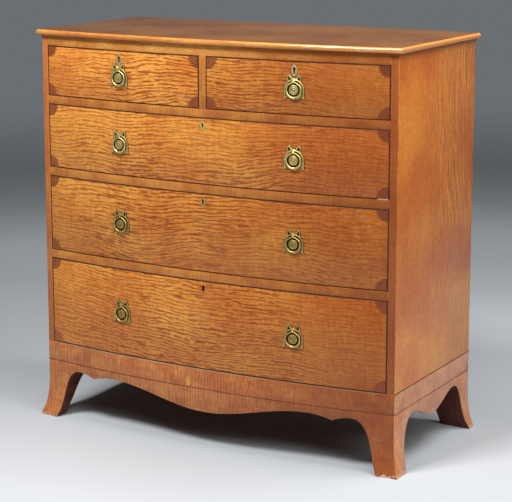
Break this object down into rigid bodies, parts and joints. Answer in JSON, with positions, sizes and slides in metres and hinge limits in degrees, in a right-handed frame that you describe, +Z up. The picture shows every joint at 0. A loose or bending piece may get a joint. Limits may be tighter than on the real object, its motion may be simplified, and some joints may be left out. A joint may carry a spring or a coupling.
{
  "type": "bow front chest of drawers",
  "caption": "Bow front chest of drawers: short drawers over long ones with ring handles, on a shaped apron and splayed bracket feet.",
  "frame": {"origin": "middle of the plan on the floor, under the feet", "axes": "+X to the right of someone facing the drawers, +Y from the drawers to the back, +Z up"},
  "size_m": [1.078, 0.52, 1.056],
  "materials": {
    "drawer_veneer": "polished golden satinwood veneer with a rippled figure",
    "side_veneer": "polished satinwood veneer, grain upright",
    "crossbanding": "polished satinwood veneer, grain across the rails and band",
    "top_veneer": "polished satinwood veneer, browner and glossy",
    "mahogany": "plain unpolished mahogany",
    "oak_lining": "plain unpolished oak",
    "brass": "old lacquered pressed brass"
  },
  "bodies": {
    "carcase": {"carcase_side_left": "side_veneer", "carcase_side_right": "side_veneer", "back_panel": "mahogany", "bottom_board": "mahogany", "top_board": "top_veneer", "top_rail": "crossbanding", "short_drawer_deck": "crossbanding", "partition": "crossbanding", "rail_2": "crossbanding", "dust_board_2": "mahogany", "rail_3": "crossbanding", "dust_board_3": "mahogany", "base_front": "crossbanding", "base_side_left": "crossbanding", "base_side_right": "crossbanding", "foot_front_left": "crossbanding", "foot_front_right": "crossbanding", "foot_back_left": "crossbanding", "foot_back_right": "crossbanding"},
    "drawer_1_left": {"drawer_1_left_front": "drawer_veneer", "drawer_1_left_side_left": "oak_lining", "drawer_1_left_side_right": "oak_lining", "drawer_1_left_back": "oak_lining", "drawer_1_left_bottom": "oak_lining", "drawer_1_left_backplate": "brass"},
    "drawer_1_right": {"drawer_1_right_front": "drawer_veneer", "drawer_1_right_side_left": "oak_lining", "drawer_1_right_side_right": "oak_lining", "drawer_1_right_back": "oak_lining", "drawer_1_right_bottom": "oak_lining", "drawer_1_right_backplate": "brass"},
    "drawer_2": {"drawer_2_front": "drawer_veneer", "drawer_2_side_left": "oak_lining", "drawer_2_side_right": "oak_lining", "drawer_2_back": "oak_lining", "drawer_2_bottom": "oak_lining", "drawer_2_left_backplate": "brass", "drawer_2_right_backplate": "brass"},
    "drawer_3": {"drawer_3_front": "drawer_veneer", "drawer_3_side_left": "oak_lining", "drawer_3_side_right": "oak_lining", "drawer_3_back": "oak_lining", "drawer_3_bottom": "oak_lining", "drawer_3_left_backplate": "brass", "drawer_3_right_backplate": "brass"},
    "drawer_4": {"drawer_4_front": "drawer_veneer", "drawer_4_side_left": "oak_lining", "drawer_4_side_right": "oak_lining", "drawer_4_back": "oak_lining", "drawer_4_bottom": "oak_lining", "drawer_4_left_backplate": "brass", "drawer_4_right_backplate": "brass"},
    "ring_1_left": {"drawer_1_left_ring": "brass"},
    "ring_1_right": {"drawer_1_right_ring": "brass"},
    "ring_2_left": {"drawer_2_left_ring": "brass"},
    "ring_2_right": {"drawer_2_right_ring": "brass"},
    "ring_3_left": {"drawer_3_left_ring": "brass"},
    "ring_3_right": {"drawer_3_right_ring": "brass"},
    "ring_4_left": {"drawer_4_left_ring": "brass"},
    "ring_4_right": {"drawer_4_right_ring": "brass"}
  },
  "joints": [
    {"name": "drawer_1_left_slide", "type": "slide", "parent": "carcase", "child": "drawer_1_left", "axis": [0, -1, 0], "range_m": [0, 0.33]},
    {"name": "drawer_1_right_slide", "type": "slide", "parent": "carcase", "child": "drawer_1_right", "axis": [0, -1, 0], "range_m": [0, 0.33]},
    {"name": "drawer_2_slide", "type": "slide", "parent": "carcase", "child": "drawer_2", "axis": [0, -1, 0], "range_m": [0, 0.33]},
    {"name": "drawer_3_slide", "type": "slide", "parent": "carcase", "child": "drawer_3", "axis": [0, -1, 0], "range_m": [0, 0.33]},
    {"name": "drawer_4_slide", "type": "slide", "parent": "carcase", "child": "drawer_4", "axis": [0, -1, 0], "range_m": [0, 0.33]},
    {"name": "ring_1_left_lift", "type": "hinge", "parent": "drawer_1_left", "child": "ring_1_left", "pos_m": [-0.25541, -0.24391, 0.9629], "axis": [-0.9972, 0.075, 0], "range_deg": [0, 120]},
    {"name": "ring_1_right_lift", "type": "hinge", "parent": "drawer_1_right", "child": "ring_1_right", "pos_m": [0.25541, -0.24391, 0.9629], "axis": [-0.9972, -0.075, 0], "range_deg": [0, 120]},
    {"name": "ring_2_left_lift", "type": "hinge", "parent": "drawer_2", "child": "ring_2_left", "pos_m": [-0.25541, -0.24391, 0.7899], "axis": [-0.9972, 0.075, 0], "range_deg": [0, 120]},
    {"name": "ring_2_right_lift", "type": "hinge", "parent": "drawer_2", "child": "ring_2_right", "pos_m": [0.25541, -0.24391, 0.7899], "axis": [-0.9972, -0.075, 0], "range_deg": [0, 120]},
    {"name": "ring_3_left_lift", "type": "hinge", "parent": "drawer_3", "child": "ring_3_left", "pos_m": [-0.25541, -0.24391, 0.5809], "axis": [-0.9972, 0.075, 0], "range_deg": [0, 120]},
    {"name": "ring_3_right_lift", "type": "hinge", "parent": "drawer_3", "child": "ring_3_right", "pos_m": [0.25541, -0.24391, 0.5809], "axis": [-0.9972, -0.075, 0], "range_deg": [0, 120]},
    {"name": "ring_4_left_lift", "type": "hinge", "parent": "drawer_4", "child": "ring_4_left", "pos_m": [-0.25541, -0.24391, 0.3404], "axis": [-0.9972, 0.075, 0], "range_deg": [0, 120]},
    {"name": "ring_4_right_lift", "type": "hinge", "parent": "drawer_4", "child": "ring_4_right", "pos_m": [0.25541, -0.24391, 0.3404], "axis": [-0.9972, -0.075, 0], "range_deg": [0, 120]}
  ]
}
